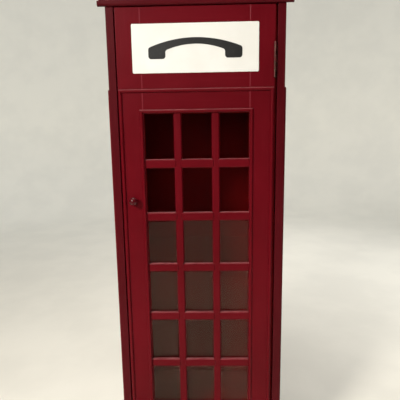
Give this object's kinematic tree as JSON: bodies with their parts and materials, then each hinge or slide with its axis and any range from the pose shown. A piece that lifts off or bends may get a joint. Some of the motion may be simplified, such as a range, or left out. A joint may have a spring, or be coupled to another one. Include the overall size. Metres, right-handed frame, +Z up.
{
  "type": "telephone booth display cabinet",
  "caption": "Red wooden display cabinet in the shape of a telephone booth, with one full-height glazed door, a sign panel and a low domed roof.",
  "frame": {"origin": "centre of the overall footprint, on the floor", "axes": "+Z up, the door faces -Y, and +X is to the right of someone who faces the door, which is the hinge side"},
  "size_m": [0.594, 0.484, 1.7759],
  "materials": {
    "red_paint": "satin deep red paint over wood, brushed",
    "red_paint_inside": "matt deep red paint over wood",
    "sign_white": "smooth warm white sheet",
    "sign_black": "black film",
    "clear_glass": "clear float glass",
    "brass": "dulled brass with traces of red paint",
    "steel": "zinc plated steel",
    "magnet": "dark ferrite and steel pole plates",
    "brown_plastic": "moulded brown plastic",
    "felt": "felt",
    "bare_wood": "unpainted beech and pine"
  },
  "bodies": {
    "cabinet": {"side_panel_left": "red_paint", "side_panel_right": "red_paint", "floor_board": "red_paint_inside", "top_board": "red_paint_inside", "back_panel": "red_paint_inside", "back_panel_screws": "steel", "plinth_front": "red_paint", "plinth_back": "red_paint", "plinth_corner_blocks": "bare_wood", "cabinet_dowels": "bare_wood", "door_stop_strips": "red_paint_inside", "door_stop_pads": "felt", "side_outer_bead_left": "red_paint", "side_window_bead_left": "red_paint", "side_bars_upright_left": "red_paint", "side_bars_cross_left": "red_paint", "side_outer_bead_right": "red_paint", "side_window_bead_right": "red_paint", "side_bars_upright_right": "red_paint", "side_bars_cross_right": "red_paint", "roof_board": "red_paint", "cornice_strips": "red_paint", "pediment_front": "red_paint", "pediment_back": "red_paint", "pediment_left": "red_paint", "pediment_right": "red_paint", "roof_dome": "red_paint", "roof_screws": "steel", "hinge_bottom_frame_leaf": "brass", "hinge_bottom_pin": "brass", "hinge_top_frame_leaf": "brass", "hinge_top_pin": "brass", "hinge_screws_frame": "brass", "catch_housings": "brown_plastic", "catch_magnets": "magnet", "catch_housing_screws": "steel", "glass_shelf_lower": "clear_glass", "glass_shelf_middle": "clear_glass", "glass_shelf_upper": "clear_glass", "shelf_pins": "steel"},
    "door": {"door_stile_left": "red_paint", "door_stile_right": "red_paint", "door_top_rail": "red_paint", "door_bottom_rail": "red_paint", "door_dowels": "bare_wood", "door_outer_bead": "red_paint", "door_window_bead": "red_paint", "glazing_bars_upright": "red_paint", "glazing_bars_cross": "red_paint", "glass_pane": "clear_glass", "glass_stops": "red_paint_inside", "sign_plate": "sign_white", "sign_symbol": "sign_black", "knob": "red_paint", "knob_screw": "steel", "hinge_bottom_door_leaf": "brass", "hinge_top_door_leaf": "brass", "hinge_screws_door": "brass", "catch_keepers": "steel", "catch_keeper_screws": "steel"}
  },
  "joints": [
    {"name": "door_hinge", "type": "hinge", "parent": "cabinet", "child": "door", "pos_m": [0.243, -0.2146, 0], "axis": [0, 0, 1], "range_deg": [0, 170]}
  ]
}
